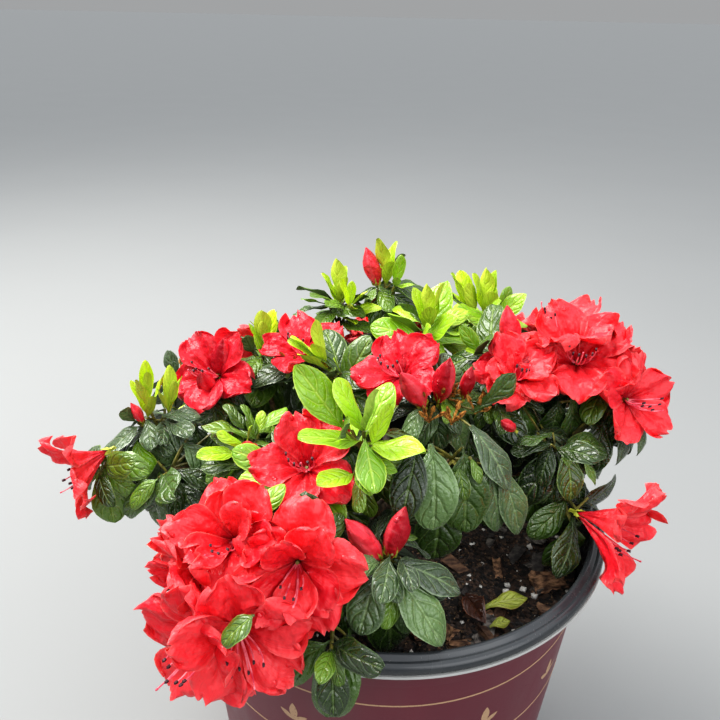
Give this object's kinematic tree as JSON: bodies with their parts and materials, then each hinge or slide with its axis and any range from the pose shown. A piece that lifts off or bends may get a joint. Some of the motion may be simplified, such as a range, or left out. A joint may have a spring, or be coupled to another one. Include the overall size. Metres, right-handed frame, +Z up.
{
  "type": "potted azalea shrub",
  "caption": "Low, wide flowering evergreen azalea in bloom, standing in its round nursery pot: short trunk, spreading boughs, leafy shoots and funnel blossoms.",
  "frame": {"origin": "centre of the pot's flat underside, on the ground", "axes": "+Z up along the pot's axis, -Y towards the side seen in the picture, +X to that view's right"},
  "size_m": [0.4146, 0.3676, 0.3773],
  "materials": {
    "pot": "satin moulded",
    "soil": "moist pine bark potting mix",
    "bark": "fine grey-brown bark",
    "foliage": "living leaves and petals"
  },
  "bodies": {
    "root": {"pot": "pot", "soil": "soil", "trunk": "bark", "bough_left": "bark", "bough_left_back": "bark", "bough_back_left": "bark", "bough_back": "bark", "bough_back_right": "bark", "bough_right_back": "bark", "bough_right": "bark", "bough_centre": "bark", "bough_centre_left": "bark", "bough_front_right": "bark", "bough_front": "bark", "bough_front_low": "bark", "bough_front_left": "bark", "foliage_right_big_bloom": "foliage", "foliage_right_open_bloom": "foliage", "foliage_front_left_high": "foliage", "foliage_front_left_low": "foliage", "foliage_front_bloom": "foliage", "foliage_front_flush": "foliage", "foliage_centre_fan": "foliage", "foliage_front_buds": "foliage", "foliage_centre_buds": "foliage", "foliage_centre_bloom": "foliage", "foliage_centre_left_leaves": "foliage", "foliage_centre_left_bloom": "foliage", "foliage_far_left_rosette": "foliage", "foliage_far_left_bloom": "foliage", "foliage_left_leaves": "foliage", "foliage_left_bloom": "foliage", "foliage_left_flush": "foliage", "foliage_left_inner": "foliage", "foliage_back_left_flush": "foliage", "foliage_back_inner_bloom": "foliage", "foliage_back_flush": "foliage", "foliage_right_back_flush": "foliage", "foliage_centre_back_flush": "foliage", "foliage_right_bud": "foliage", "foliage_right_leaves": "foliage", "foliage_right_low_bloom": "foliage", "foliage_front_rim_leaves": "foliage", "foliage_back_left_low": "foliage", "foliage_back_low": "foliage", "foliage_back_left_leaves": "foliage", "foliage_back_right_low": "foliage", "foliage_right_side": "foliage", "foliage_left_side": "foliage"}
  },
  "joints": []
}
